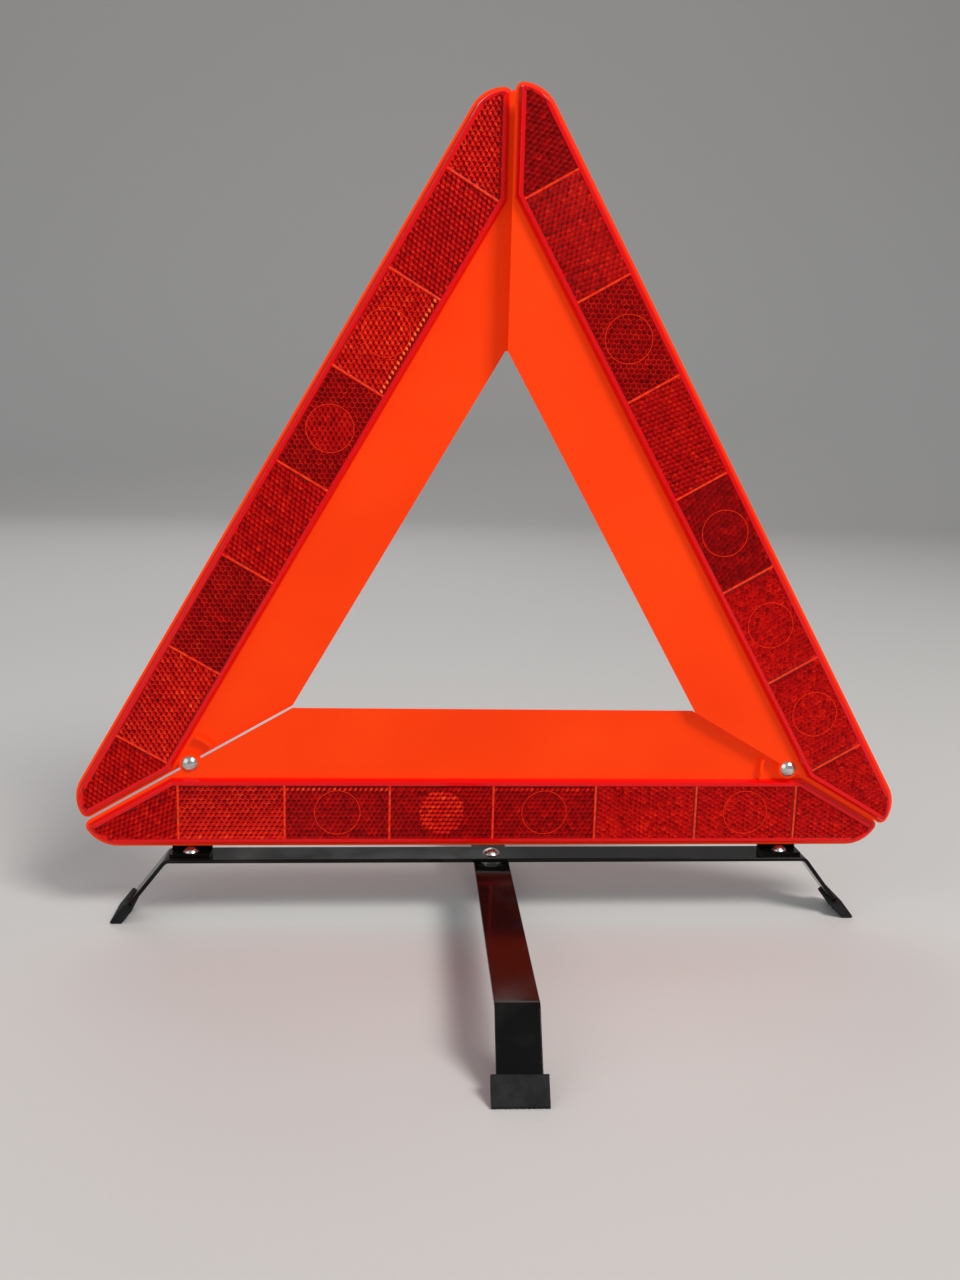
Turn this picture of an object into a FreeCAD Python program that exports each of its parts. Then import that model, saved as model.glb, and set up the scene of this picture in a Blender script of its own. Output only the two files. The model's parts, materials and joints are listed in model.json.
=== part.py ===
"""Foldable emergency warning triangle on a swivelling steel cross-stand.

Millimetres, +Z up. X runs along the base arm, -Y is the side that faces the traffic.
The origin is on the ground, under the middle of the base arm.
"""
import FreeCAD, Part
import math
import os
import Sketcher
from FreeCAD import Placement, Rotation, Vector

os.makedirs("parts", exist_ok=True)
doc = FreeCAD.newDocument("WarningTriangle")

DIMENSIONS = [
    # Triangle
    ("side_length", 450.0, "side of the sharp-cornered triangle on the arms' outer edges"),
    ("arm_width", 71.3, "outer edge of an arm to the inner edge of its wing"),
    ("band_width", 37.0, "outer edge of an arm to the inner edge of its reflector band"),
    ("ground_clearance", 37.0, "ground to the base arm's outer edge"),
    ("mitre_gap", 0.4, "gap between two arms at a corner"),
    ("tip_trim", 23.8, "cut taken off each corner, measured along the mitre"),
    ("shoulder_radius", 18.0, "rounding of the outer edge towards a tip"),
    ("tip_radius", 3.6, "rounding of a tip at the mitre"),
    ("layer_offset", 5.0, "depth between the base arm and each folding arm"),
    ("tongue_reach", 6.0, "how far the left wing reaches behind the right arm"),
    ("tongue_drop", 1.2, "tongue's end below the tips, measured along the mitre"),
    # Carrier and reflector shells
    ("carrier_thickness", 1.0, "orange carrier sheet"),
    ("rim_width", 1.0, "carrier left showing round a reflector shell"),
    ("shell_depth", 3.6, "height of a reflector shell above the carrier"),
    ("shell_wall", 1.6, "wall of a reflector shell"),
    ("shell_draft", 25.0, "draft of a shell's side walls, degrees"),
    ("rib_width", 1.2, "rib between two reflector cells"),
    ("cell_pitch", 52.4, "spacing of the ribs along an arm"),
    # Pivots
    ("pivot_inset", 84.6, "corner to pivot, measured along the mitre"),
    ("tab_radius", 5.0, "carrier tab round a pivot"),
    ("hub_radius", 4.6, "spacer hub round a pivot"),
    ("guide_radius", 13.5, "middle of the guide rib round a pivot"),
    ("guide_width", 1.5, "guide rib, measured outwards from the pivot"),
    ("guide_height", 4.0, "guide rib above the carrier's mid-plane"),
    ("guide_angle", 38.0, "arc of the guide rib, degrees"),
    ("pivot_shank", 4.0, "diameter of a pivot rivet's shank"),
    ("pivot_head", 8.0, "diameter of a pivot rivet's head"),
    ("pivot_head_height", 2.0, "height of a pivot rivet's head"),
    ("pivot_tail", 6.4, "diameter of a pivot rivet's tail"),
    ("washer_diameter", 8.4, "diameter of a pivot washer"),
    ("washer_thickness", 0.8, "thickness of a pivot washer"),
    ("turning_fit", 0.05, "radial clearance of a turning joint"),
    ("axial_play", 0.1, "axial clearance of a turning joint"),
    # Stand
    ("strip_width", 18.0, "width of both stand strips"),
    ("strip_thickness", 2.0, "thickness of both stand strips"),
    ("bar_gap", 4.4, "base arm's outer edge to the top of the crossbar"),
    ("bar_flat", 163.7, "half of the crossbar's straight length"),
    ("bar_angle", 52.0, "slope of the crossbar's ends, degrees"),
    ("leg_flat", 154.3, "half of the cross leg's straight length"),
    ("leg_angle", 50.0, "slope of the cross leg's ends, degrees"),
    ("leg_yaw", -1.34, "cross leg's turn away from square, degrees"),
    ("strip_edge", 0.4, "rounding of the strips' edges"),
    ("bend_radius", 3.0, "inner radius of the strips' bends"),
    ("swivel_washer_thickness", 1.4, "washer between the crossbar and the cross leg"),
    ("swivel_washer_diameter", 16.0, "diameter of that washer"),
    ("swivel_head", 9.0, "diameter of the swivel rivet's head"),
    ("bar_head", 8.0, "diameter of a bracket's stand rivet's head"),
    ("stand_head_height", 2.4, "height of a stand rivet's head"),
    ("stand_shank", 4.5, "diameter of a stand rivet's shank"),
    ("stand_tail", 7.0, "diameter of a stand rivet's tail"),
    ("tail_height", 1.4, "height of a rivet's tail"),
    ("bar_tail_height", 0.9, "height of the tail that the cross leg passes under"),
    # Rubber feet
    ("cap_length", 12.0, "length of a rubber foot along the strip"),
    ("cap_width", 22.0, "width of a rubber foot"),
    ("cap_wall", 1.5, "rubber over the strip's faces"),
    ("sole_thickness", 3.0, "rubber under the strip's end"),
    ("groove_pitch", 2.2, "spacing of the sole's grooves"),
    ("groove_width", 0.9, "width of a groove"),
    ("groove_depth", 1.0, "depth of a groove"),
    # Brackets
    ("bracket_place", 151.7, "middle of the base arm to a bracket"),
    ("bracket_width", 20.0, "width of a bracket"),
    ("bracket_thickness", 1.5, "thickness of a bracket"),
    ("bracket_front", 5.2, "bracket's front edge, ahead of the base arm's mid-plane"),
    ("bracket_rise", 12.0, "bracket's top above the base arm's outer edge"),
    ("fixing_rise", 7.6, "small rivet above the base arm's outer edge"),
    ("fixing_shank", 3.0, "diameter of a small rivet's shank"),
    ("fixing_head", 5.2, "diameter of a small rivet's head"),
    ("fixing_head_height", 1.2, "height of a small rivet's head"),
    ("fixing_tail", 4.4, "diameter of a small rivet's tail"),
]

sheet = doc.addObject("Spreadsheet::Sheet", "Dims")
for row, (alias, number, meaning) in enumerate(DIMENSIONS, start=1):
    sheet.set(f"A{row}", meaning)
    sheet.set(f"B{row}", str(number))
    sheet.setAlias(f"B{row}", alias)
doc.recompute()

# Heights above the ground and depths from the base arm's mid-plane, as expressions.
MITRE = "30"
HALF_SHEET = "(Dims.carrier_thickness / 2)"
BAND_FACE = f"({HALF_SHEET} + Dims.shell_depth)"
BAR_TOP = "(Dims.ground_clearance - Dims.bar_gap)"
LEG_TOP = (f"({BAR_TOP} - Dims.strip_thickness - Dims.swivel_washer_thickness"
           " - Dims.axial_play)")
PIVOT_X = f"(Dims.side_length / 2 - Dims.pivot_inset * cos({MITRE}))"
PIVOT_RISE = f"(Dims.pivot_inset * sin({MITRE}))"
PIVOT_Z = f"(Dims.ground_clearance + {PIVOT_RISE})"
RIBS_EACH_SIDE = 3
GROOVES = 9


def value(expression):
    """Number that an expression on the sheet gives."""
    return float(sheet.evalExpression(str(expression)))


def new_body(name):
    """Body whose label is the name of its node."""
    body = doc.addObject("PartDesign::Body", name)
    body.Label = name
    return body


def place(body, x="0", y="0", z="0", axis=Vector(0, 0, 1), angle=0.0):
    """Turn a body about its own origin and bind that origin to expressions."""
    body.Placement = Placement(Vector(value(x), value(y), value(z)), Rotation(axis, angle))
    for letter, expression in (("x", x), ("y", y), ("z", z)):
        body.setExpression(f"Placement.Base.{letter}", expression)


def sketch_on(body, role, offset=None):
    """Empty sketch on one of the body's origin planes, or at an offset from it."""
    sketch = body.newObject("Sketcher::SketchObject", "Outline")
    plane = next(item for item in body.Origin.OriginFeatures if item.Role == role)
    sketch.AttachmentSupport = [(plane, "")]
    sketch.MapMode = "FlatFace"
    if offset:
        sketch.setExpression("AttachmentOffset.Base.z", offset)
    return sketch


def constrain(sketch, kind, geometry, point, expression, name):
    """Dimension of a sketch, bound to an expression."""
    if point is None:
        constraint = Sketcher.Constraint(kind, geometry, value(expression))
    else:
        constraint = Sketcher.Constraint(kind, geometry, point, value(expression))
    sketch.renameConstraint(sketch.addConstraint(constraint), name)
    sketch.setExpression(f"Constraints.{name}", expression)


def locate(sketch, geometry, point, x, y, name):
    """Hold one point of a sketch at two expressions."""
    constrain(sketch, "DistanceX", geometry, point, x, f"{name}_across")
    constrain(sketch, "DistanceY", geometry, point, y, f"{name}_up")


def polygon(sketch, corners):
    """Closed outline through corners given as pairs of expressions."""
    points = [Vector(value(x), value(y), 0) for x, y in corners]
    first = sketch.GeometryCount
    count = len(corners)
    for index in range(count):
        sketch.addGeometry(Part.LineSegment(points[index], points[(index + 1) % count]))
    for index in range(count):
        following = first + (index + 1) % count
        sketch.addConstraint(Sketcher.Constraint("Coincident", first + index, 2, following, 1))
    for index, (x, y) in enumerate(corners):
        locate(sketch, first + index, 1, x, y, f"corner{first + index}")
    return sketch


def circle(sketch, x, y, radius):
    """Circle whose centre and radius are expressions."""
    centre = Vector(value(x), value(y), 0)
    index = sketch.addGeometry(Part.Circle(centre, Vector(0, 0, 1), value(radius)))
    locate(sketch, index, 3, x, y, f"centre{index}")
    constrain(sketch, "Radius", index, None, radius, f"radius{index}")
    return sketch


def pad(body, sketch, length, side="One side", reverse=False, draft=None):
    """Solid raised on a sketch."""
    feature = body.newObject("PartDesign::Pad", "Pad")
    feature.Profile = sketch
    feature.SideType = side
    feature.Reversed = reverse
    feature.setExpression("Length", length)
    if draft:
        feature.setExpression("TaperAngle", draft)
    doc.recompute()
    return feature


def pocket(body, sketch, length=None, side="One side", reverse=False, draft=None):
    """Material cut away under a sketch: all of it where no length is given."""
    before = body.Shape.Volume
    feature = body.newObject("PartDesign::Pocket", "Pocket")
    feature.Profile = sketch
    feature.SideType = side
    feature.Reversed = reverse
    if length:
        feature.setExpression("Length", length)
    else:
        feature.Type = "ThroughAll"
    if draft:
        feature.setExpression("TaperAngle", draft)
    doc.recompute()
    if feature.Shape.Volume >= before:
        raise ValueError(f"a pocket of {body.Label} cuts nothing")
    return feature


def round_edges(body, radius, wanted):
    """Fillet on the edges of the tip that `wanted` picks."""
    tip = body.Tip
    names = [f"Edge{number}" for number, edge in enumerate(tip.Shape.Edges, start=1)
             if wanted(edge)]
    if not names:
        raise ValueError(f"a fillet of {body.Label} finds no edge")
    feature = body.newObject("PartDesign::Fillet", "Fillet")
    feature.Base = (tip, names)
    feature.setExpression("Radius", radius)
    doc.recompute()
    return feature


def rises_from(corners, level):
    """Test for the edges that start at given corners of an XZ outline at depth `level`."""
    starts = [Vector(value(x), value(level), value(z)) for x, z in corners]

    def wanted(edge):
        ends = [vertex.Point for vertex in edge.Vertexes]
        if len(ends) < 2 or abs(ends[0].y - ends[1].y) < 0.1:
            return False
        return any(end.distanceToPoint(start) < 0.01 for end in ends for start in starts)

    return wanted


# --- Arms -----------------------------------------------------------------------------
# Each arm is drawn lying along X with its outer edge on Z = 0 and -Y as its front.


def mitre_point(side, along, beyond):
    """Point by the mitre of the arm's end at `side`: `along` it from the sharp corner and
    `beyond` it, both expressions."""
    across = (f"{side} * (Dims.side_length / 2 - ({along}) * cos({MITRE})"
              f" + ({beyond}) * sin({MITRE}))")
    up = f"({along}) * sin({MITRE}) + ({beyond}) * cos({MITRE})"
    return across, up


def arm_outline(inset, inner_edge):
    """Corners of an arm's outline, `inset` all round, and those that are rounded."""
    back = f"(Dims.mitre_gap / 2 + {inset})"
    top = f"({inner_edge} - {inset})"
    reach = f"({top} + {back} * cos({MITRE})) / sin({MITRE})"
    cut = f"(Dims.tip_trim + {inset})"
    ends = {}
    for side in (1, -1):
        wing = mitre_point(side, reach, f"-{back}")
        tip = mitre_point(side, cut, f"-{back}")
        shoulder = (f"{side} * (Dims.side_length / 2 - ({cut} - {inset} * sin({MITRE}))"
                    f" / cos({MITRE}))", f"{inset}")
        ends[side] = (wing, tip, shoulder)
    corners = list(ends[1]) + list(reversed(ends[-1]))
    tips = [ends[1][1], ends[-1][1]]
    shoulders = [ends[1][2], ends[-1][2]]
    return corners, tips, shoulders


def arm_plate(body, inset, inner_edge, level, length, side, reverse, draft):
    """Plate of an arm's outline with its tips and shoulders rounded."""
    corners, tips, shoulders = arm_outline(inset, inner_edge)
    offset = f"-({level})"
    sketch = polygon(sketch_on(body, "XZ_Plane", offset), corners)
    pad(body, sketch, length, side=side, reverse=reverse, draft=draft)
    start = f"{level} - {HALF_SHEET}" if side == "Symmetric" else level
    round_edges(body, f"Dims.shoulder_radius - {inset}", rises_from(shoulders, start))
    round_edges(body, f"Dims.tip_radius - {inset}", rises_from(tips, start))


def carrier(label, tabs, spacer, tongue):
    """Orange sheet of an arm, with its pivot tabs.

    `tabs` holds the ends (1 or -1 along X) that have a tab. An arm that is the rear one of
    its pivot at +X has the spacer hub and the guide rib on its front."""
    body = new_body(label)
    arm_plate(body, "0", "Dims.arm_width", "0", "Dims.carrier_thickness", "Symmetric",
              False, None)
    if tongue:
        start = "Dims.tip_trim + Dims.tongue_drop"
        finish = f"Dims.arm_width / sin({MITRE})"
        corners = [mitre_point(-1, start, "-Dims.mitre_gap"),
                   mitre_point(-1, start, "Dims.tongue_reach"),
                   mitre_point(-1, finish, "Dims.tongue_reach"),
                   mitre_point(-1, finish, "-Dims.mitre_gap")]
        sketch = polygon(sketch_on(body, "XZ_Plane"), corners)
        pad(body, sketch, "Dims.carrier_thickness", side="Symmetric")
    for end in tabs:
        sketch = circle(sketch_on(body, "XZ_Plane"), f"{end} * {PIVOT_X}", PIVOT_RISE,
                        "Dims.tab_radius")
        pad(body, sketch, "Dims.carrier_thickness", side="Symmetric")
    if spacer:
        sketch = circle(sketch_on(body, "XZ_Plane"), PIVOT_X, PIVOT_RISE, "Dims.hub_radius")
        pad(body, sketch, f"Dims.layer_offset - {HALF_SHEET} - Dims.axial_play")
        guide_rib(body)
    for end in tabs:
        sketch = circle(sketch_on(body, "XZ_Plane", "-Dims.layer_offset"),
                        f"{end} * {PIVOT_X}", PIVOT_RISE,
                        "Dims.pivot_shank / 2 + Dims.turning_fit")
        pocket(body, sketch, "2 * Dims.layer_offset", reverse=True)
    return body


def guide_rib(body):
    """Raised arc round the +X pivot that keeps the two wings apart while they fold."""
    sketch = sketch_on(body, "XY_Plane", PIVOT_RISE)
    outer = f"{PIVOT_X} - Dims.guide_radius - Dims.guide_width / 2"
    inner = f"{PIVOT_X} - Dims.guide_radius + Dims.guide_width / 2"
    polygon(sketch, [(outer, "0"), (inner, "0"), (inner, "-Dims.guide_height"),
                     (outer, "-Dims.guide_height")])
    axis = Part.LineSegment(Vector(value(PIVOT_X), 0, 0), Vector(value(PIVOT_X), -1, 0))
    index = sketch.addGeometry(axis, True)
    locate(sketch, index, 1, PIVOT_X, "0", "axis_start")
    locate(sketch, index, 2, PIVOT_X, "-1", "axis_end")
    rib = body.newObject("PartDesign::Revolution", "Guide")
    rib.Profile = sketch
    rib.ReferenceAxis = (sketch, ["Axis0"])
    rib.Midplane = True
    rib.setExpression("Angle", "Dims.guide_angle")
    doc.recompute()


def shell(label, front):
    """Hollow reflector shell on the front or the back of a carrier, with a rib inside
    between every two cells."""
    body = new_body(label)
    facing = "-1" if front else "1"
    level = f"{facing} * {HALF_SHEET}"
    inner_edge = "Dims.band_width"
    arm_plate(body, "Dims.rim_width", inner_edge, level, "Dims.shell_depth", "One side",
              not front, "-Dims.shell_draft")
    corners, _, _ = arm_outline("(Dims.rim_width + Dims.shell_wall)", inner_edge)
    sketch = polygon(sketch_on(body, "XZ_Plane", f"-({level})"), corners)
    cavity = "Dims.shell_depth - Dims.shell_wall"
    pocket(body, sketch, cavity, reverse=front, draft="-Dims.shell_draft")
    low = "Dims.rim_width + Dims.shell_wall / 2"
    high = f"{inner_edge} - Dims.rim_width - Dims.shell_wall / 2"
    sketch = sketch_on(body, "XZ_Plane", f"-({level} + {facing} * ({cavity}))")
    for number in range(-RIBS_EACH_SIDE, RIBS_EACH_SIDE + 1):
        middle = f"{number} * Dims.cell_pitch"
        left = f"{middle} - Dims.rib_width / 2"
        right = f"{middle} + Dims.rib_width / 2"
        bottom = f"{low} + {cavity}"
        polygon(sketch, [(left, bottom), (right, bottom), (right, f"{high} - {cavity}"),
                         (left, f"{high} - {cavity}")])
    pad(body, sketch, cavity, reverse=front)
    return body


def drill_fixings(body):
    """Holes for the small rivets of the two brackets, right through along Y."""
    sketch = sketch_on(body, "XZ_Plane", f"-2 * {BAND_FACE}")
    for end in (1, -1):
        circle(sketch, f"{end} * Dims.bracket_place", "Dims.fixing_rise",
               "Dims.fixing_shank / 2")
    pocket(body, sketch, f"4 * {BAND_FACE}", reverse=True)


# Each arm is the base arm's outline turned about the middle of the triangle.
ARMS = {
    "base": {"turn": 0, "x": "0", "y": "0", "z": "Dims.ground_clearance"},
    "left": {"turn": -120, "x": "-Dims.side_length / 4", "y": "Dims.layer_offset",
             "z": "Dims.ground_clearance + Dims.side_length * sqrt(3) / 4"},
    "right": {"turn": 120, "x": "Dims.side_length / 4", "y": "-Dims.layer_offset",
              "z": "Dims.ground_clearance + Dims.side_length * sqrt(3) / 4"},
}

arm_pieces = {
    "base": [carrier("base_carrier", (1, -1), spacer=True, tongue=False)],
    "left": [carrier("left_carrier", (1,), spacer=True, tongue=True)],
    "right": [carrier("right_carrier", (-1,), spacer=False, tongue=False)],
}
for arm, pieces in arm_pieces.items():
    pieces.append(shell(f"{arm}_lens_front", front=True))
    pieces.append(shell(f"{arm}_lens_rear", front=False))

base_carrier, _, base_lens_rear = arm_pieces["base"]
drill_fixings(base_carrier)
drill_fixings(base_lens_rear)

for arm, pieces in arm_pieces.items():
    for piece in pieces:
        spot = ARMS[arm]
        place(piece, spot["x"], spot["y"], spot["z"], Vector(0, -1, 0), spot["turn"])


# --- Rivets and washers ---------------------------------------------------------------
# Drawn upright: the head sits on Z = 0 and the shank runs down from it.


def rivet(label, head, head_height, shank, grip, tail, tail_height="Dims.tail_height"):
    """Domed rivet whose tail is upset at the depth `grip` under its head."""
    body = new_body(label)
    sketch = sketch_on(body, "XZ_Plane")
    rim = (f"{head} / 2", "0")
    crown = ("0", head_height)
    end = f"-({grip}) - {tail_height}"
    path = [crown, ("0", end), (f"{tail} / 2", end), (f"{tail} / 2", f"-({grip})"),
            (f"{shank} / 2", f"-({grip})"), (f"{shank} / 2", "0"), rim]
    points = [Vector(value(x), value(y), 0) for x, y in path]
    for start, finish in zip(points, points[1:]):
        sketch.addGeometry(Part.LineSegment(start, finish))
    radius = (points[-1].x ** 2 + points[0].y ** 2) / (2 * points[0].y)
    sphere = Part.Circle(Vector(0, points[0].y - radius, 0), Vector(0, 0, 1), radius)
    rim_angle = math.asin((radius - points[0].y) / radius)
    arc = sketch.addGeometry(Part.ArcOfCircle(sphere, rim_angle, math.pi / 2))
    last = len(path) - 2
    for index in range(last):
        sketch.addConstraint(Sketcher.Constraint("Coincident", index, 2, index + 1, 1))
    sketch.addConstraint(Sketcher.Constraint("Coincident", last, 2, arc, 1))
    sketch.addConstraint(Sketcher.Constraint("Coincident", arc, 2, 0, 1))
    for index, (x, y) in enumerate(path[:-1]):
        locate(sketch, index, 1, x, y, f"corner{index}")
    locate(sketch, last, 2, rim[0], rim[1], "rim")
    constrain(sketch, "DistanceX", arc, 3, "0", "dome_centre")
    turned = body.newObject("PartDesign::Revolution", "Turned")
    turned.Profile = sketch
    turned.ReferenceAxis = (sketch, ["V_Axis"])
    turned.Angle = 360
    doc.recompute()
    return body


def washer(label, diameter, bore, thickness):
    """Flat washer that hangs down from Z = 0."""
    body = new_body(label)
    sketch = circle(sketch_on(body, "XY_Plane"), "0", "0", f"{diameter} / 2")
    circle(sketch, "0", "0", f"{bore} / 2")
    pad(body, sketch, thickness, reverse=True)
    return body


PIVOT_GRIP = (f"(Dims.layer_offset + 2 * {HALF_SHEET} + Dims.axial_play"
              " + Dims.washer_thickness)")
PIVOTS = {
    # The head's seat and the washer's, as depths from the base arm's mid-plane.
    "left": (f"-{PIVOT_X}", f"-{HALF_SHEET}",
             f"Dims.layer_offset + {HALF_SHEET} + Dims.axial_play"),
    "right": (PIVOT_X, f"-(Dims.layer_offset + {HALF_SHEET} + Dims.axial_play)", HALF_SHEET),
}
for side_name, (across, seat, back) in PIVOTS.items():
    piece = rivet(f"pivot_rivet_{side_name}", "Dims.pivot_head", "Dims.pivot_head_height",
                  "Dims.pivot_shank", PIVOT_GRIP, "Dims.pivot_tail")
    place(piece, across, seat, PIVOT_Z, Vector(1, 0, 0), 90)
    piece = washer(f"pivot_washer_{side_name}", "Dims.washer_diameter", "Dims.pivot_shank",
                   "Dims.washer_thickness")
    place(piece, across, back, PIVOT_Z, Vector(1, 0, 0), 90)


# --- Stand ----------------------------------------------------------------------------
# Both strips are drawn along X with the flat length's upper face on Z = 0.


def slope_point(side, flat, angle, along, under):
    """Point on a strip's sloping end: `along` the slope from the bend and `under` its
    upper face."""
    across = f"{side} * ({flat} + ({along}) * cos({angle}) - ({under}) * sin({angle}))"
    up = f"-({along}) * sin({angle}) - ({under}) * cos({angle})"
    return across, up


def slope_length(angle, height):
    """Length of a sloping end whose lower corner stands on the foot's sole."""
    return (f"(({height} - Dims.sole_thickness - Dims.strip_thickness * cos({angle}))"
            f" / sin({angle}))")


def bent_strip(label, flat, angle, height, holes):
    """Steel strip whose two ends slope down into the rubber feet."""
    body = new_body(label)
    length = slope_length(angle, height)
    inner_bend = f"({flat} - Dims.strip_thickness * tan({angle} / 2))"
    corners = [slope_point(-1, flat, angle, length, "0"), (f"-{flat}", "0"), (flat, "0"),
               slope_point(1, flat, angle, length, "0"),
               slope_point(1, flat, angle, length, "Dims.strip_thickness"),
               (inner_bend, "-Dims.strip_thickness"),
               (f"-{inner_bend}", "-Dims.strip_thickness"),
               slope_point(-1, flat, angle, length, "Dims.strip_thickness")]
    sketch = polygon(sketch_on(body, "XZ_Plane"), corners)
    pad(body, sketch, "Dims.strip_width", side="Symmetric")
    front = "-Dims.strip_width / 2"
    round_edges(body, "Dims.bend_radius + Dims.strip_thickness",
                rises_from(corners[1:3], front))
    round_edges(body, "Dims.bend_radius", rises_from(corners[5:7], front))
    reach = value("Dims.strip_width / 2")

    def along_side(edge):
        """Tell whether an edge runs along one of the strip's two sides."""
        on_side = all(abs(abs(vertex.Y) - reach) < 0.01 for vertex in edge.Vertexes)
        return on_side and abs(edge.CenterOfMass.y) > reach - 0.01

    round_edges(body, "Dims.strip_edge", along_side)
    sketch = sketch_on(body, "XY_Plane")
    for across, radius in holes:
        circle(sketch, across, "0", radius)
    pocket(body, sketch)
    return body


def rubber_foot(label, flat, angle, height):
    """Rubber foot on a strip's +X end: a sloping boot with a level, grooved sole."""
    body = new_body(label)
    wall = "Dims.cap_wall"
    under = f"(Dims.strip_thickness + {wall})"
    outer_end = f"({height} + {wall} * cos({angle})) / sin({angle})"
    inner_end = f"({height} - {under} * cos({angle})) / sin({angle})"
    start = f"{height} / sin({angle}) - Dims.cap_length"
    corners = [slope_point(1, flat, angle, start, f"-{wall}"),
               slope_point(1, flat, angle, outer_end, f"-{wall}"),
               slope_point(1, flat, angle, inner_end, under),
               slope_point(1, flat, angle, start, under)]
    sketch = polygon(sketch_on(body, "XZ_Plane"), corners)
    pad(body, sketch, "Dims.cap_width", side="Symmetric")
    front = "-Dims.cap_width / 2"
    round_edges(body, "Dims.cap_wall * 0.6",
                rises_from([corners[0], corners[1], corners[3]], front))
    length = slope_length(angle, height)
    socket = [slope_point(1, flat, angle, f"{start} - 1", "0"),
              slope_point(1, flat, angle, length, "0"),
              slope_point(1, flat, angle, length, "Dims.strip_thickness"),
              slope_point(1, flat, angle, f"{start} - 1", "Dims.strip_thickness")]
    sketch = polygon(sketch_on(body, "XZ_Plane"), socket)
    pocket(body, sketch, "Dims.strip_width", side="Symmetric")
    sketch = sketch_on(body, "YZ_Plane")
    low = f"-{height} - Dims.groove_depth"
    high = f"-{height} + Dims.groove_depth"
    first = f"-{GROOVES - 1} / 2 * Dims.groove_pitch"
    left = f"{first} - Dims.groove_width / 2"
    right = f"{first} + Dims.groove_width / 2"
    polygon(sketch, [(left, low), (right, low), (right, high), (left, high)])
    groove = pocket(body, sketch, reverse=True)
    pattern = body.newObject("PartDesign::LinearPattern", "Grooves")
    pattern.Originals = [groove]
    pattern.Direction = (sketch, ["H_Axis"])
    pattern.setExpression("Length", f"{GROOVES - 1} * Dims.groove_pitch")
    pattern.Occurrences = GROOVES
    body.Tip = pattern
    doc.recompute()
    return body


RIVET_HOLE = "Dims.stand_shank / 2"
TURNING_HOLE = "Dims.stand_shank / 2 + Dims.turning_fit"
crossbar = bent_strip("crossbar", "Dims.bar_flat", "Dims.bar_angle", BAR_TOP,
                      [("-Dims.bracket_place", RIVET_HOLE), ("0", RIVET_HOLE),
                       ("Dims.bracket_place", RIVET_HOLE)])
place(crossbar, z=BAR_TOP)
cross_leg = bent_strip("cross_leg", "Dims.leg_flat", "Dims.leg_angle", LEG_TOP,
                       [("0", TURNING_HOLE)])
yaw = value("Dims.leg_yaw")
place(cross_leg, z=LEG_TOP, angle=90 + yaw)
for label, turn in (("bar_cap_right", 0), ("bar_cap_left", 180)):
    foot = rubber_foot(label, "Dims.bar_flat", "Dims.bar_angle", BAR_TOP)
    place(foot, z=BAR_TOP, angle=turn)
for label, turn in (("cross_cap_rear", 90), ("cross_cap_front", 270)):
    foot = rubber_foot(label, "Dims.leg_flat", "Dims.leg_angle", LEG_TOP)
    place(foot, z=LEG_TOP, angle=turn + yaw)

swivel_grip = f"{BAR_TOP} - {LEG_TOP} + Dims.strip_thickness + Dims.axial_play"
swivel_rivet = rivet("swivel_rivet", "Dims.swivel_head", "Dims.stand_head_height",
                     "Dims.stand_shank", swivel_grip, "Dims.stand_tail")
place(swivel_rivet, z=BAR_TOP)
swivel_washer = washer("swivel_washer", "Dims.swivel_washer_diameter", "Dims.stand_shank",
                       "Dims.swivel_washer_thickness")
place(swivel_washer, z=f"{BAR_TOP} - Dims.strip_thickness")


# --- Brackets -------------------------------------------------------------------------


def bracket(label):
    """Angle bracket: its flange lies on the crossbar and its leg stands behind the base
    arm's rear shell."""
    body = new_body(label)
    flange = f"({BAR_TOP} + Dims.bracket_thickness)"
    leg_front = BAND_FACE
    leg_back = f"({BAND_FACE} + Dims.bracket_thickness)"
    top = "(Dims.ground_clearance + Dims.bracket_rise)"
    corners = [("-Dims.bracket_front", BAR_TOP), (leg_back, BAR_TOP), (leg_back, top),
               (leg_front, top), (leg_front, flange), ("-Dims.bracket_front", flange)]
    sketch = polygon(sketch_on(body, "YZ_Plane"), corners)
    pad(body, sketch, "Dims.bracket_width", side="Symmetric")

    def at_bend(edge):
        middle = edge.CenterOfMass
        return (abs(middle.x) < 0.01 and abs(middle.y - value(leg_back)) < 0.01
                and abs(middle.z - value(BAR_TOP)) < 0.01)

    def at_top_corner(edge):
        middle = edge.CenterOfMass
        return (abs(abs(middle.x) - value("Dims.bracket_width / 2")) < 0.01
                and abs(middle.z - value(top)) < 0.01 and edge.Length < 2)

    round_edges(body, "Dims.bracket_thickness * 0.9", at_bend)
    round_edges(body, "Dims.bracket_thickness * 2", at_top_corner)
    sketch = circle(sketch_on(body, "XY_Plane", f"{BAR_TOP} - 1"), "0", "0", RIVET_HOLE)
    pocket(body, sketch, "Dims.bracket_thickness + 2", reverse=True)
    sketch = circle(sketch_on(body, "XZ_Plane"), "0",
                    "Dims.ground_clearance + Dims.fixing_rise", "Dims.fixing_shank / 2")
    pocket(body, sketch, f"2 * {BAND_FACE}")
    return body


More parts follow.
